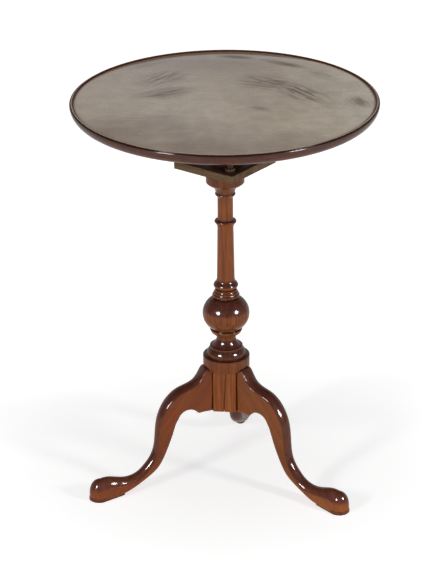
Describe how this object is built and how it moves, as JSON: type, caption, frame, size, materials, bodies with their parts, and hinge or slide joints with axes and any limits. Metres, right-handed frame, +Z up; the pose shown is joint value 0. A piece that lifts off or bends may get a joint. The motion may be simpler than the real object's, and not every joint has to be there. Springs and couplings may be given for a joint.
{
  "type": "tray top tea table",
  "caption": "Round tray top tea table on a turned pedestal with cabriole legs; the top swivels on a birdcage, tips upright on wooden pivots and is held level by a sliding brass catch.",
  "frame": {"origin": "on the floor, on the column's axis", "axes": "+Z up along the column; +X from the column towards one leg and the pivots of the top"},
  "size_m": [0.5329, 0.533, 0.72],
  "materials": {
    "tray_wood": "worn glossy varnish on mahogany",
    "batten_wood": "plain dry mahogany",
    "cage_wood": "satin mahogany",
    "column_wood": "glossy french polished mahogany",
    "leg_wood": "glossy french polished mahogany",
    "catch_brass": "aged brass",
    "screw_steel": "dark steel",
    "brace_iron": "forged iron, blackened"
  },
  "bodies": {
    "pedestal": {"column": "column_wood", "leg_right": "leg_wood", "leg_rear": "leg_wood", "leg_left": "leg_wood", "brace_plate": "brace_iron", "brace_nails": "brace_iron", "collar": "column_wood", "key_wedge": "column_wood"},
    "cage": {"cage_upper_plate": "cage_wood", "cage_lower_plate": "cage_wood", "colonnette_1": "cage_wood", "colonnette_2": "cage_wood", "colonnette_3": "cage_wood", "colonnette_4": "cage_wood", "strike_plate": "catch_brass", "strike_pins": "catch_brass"},
    "top": {"tray_top": "tray_wood", "batten_near": "batten_wood", "batten_far": "batten_wood", "batten_screws": "screw_steel", "catch_plate": "catch_brass", "catch_screws": "catch_brass"},
    "catch": {"catch_bolt": "catch_brass"}
  },
  "joints": [
    {"name": "cage_swivel", "type": "hinge", "parent": "pedestal", "child": "cage", "pos_m": [0, 0, 0.6], "axis": [0, 0, 1], "continuous": true},
    {"name": "top_tilt", "type": "hinge", "parent": "cage", "child": "top", "pos_m": [0.056, 0, 0.689], "axis": [0, 1, 0], "range_deg": [0, 90]},
    {"name": "catch_slide", "type": "slide", "parent": "top", "child": "catch", "axis": [1, 0, 0], "range_m": [0, 0.008]}
  ]
}
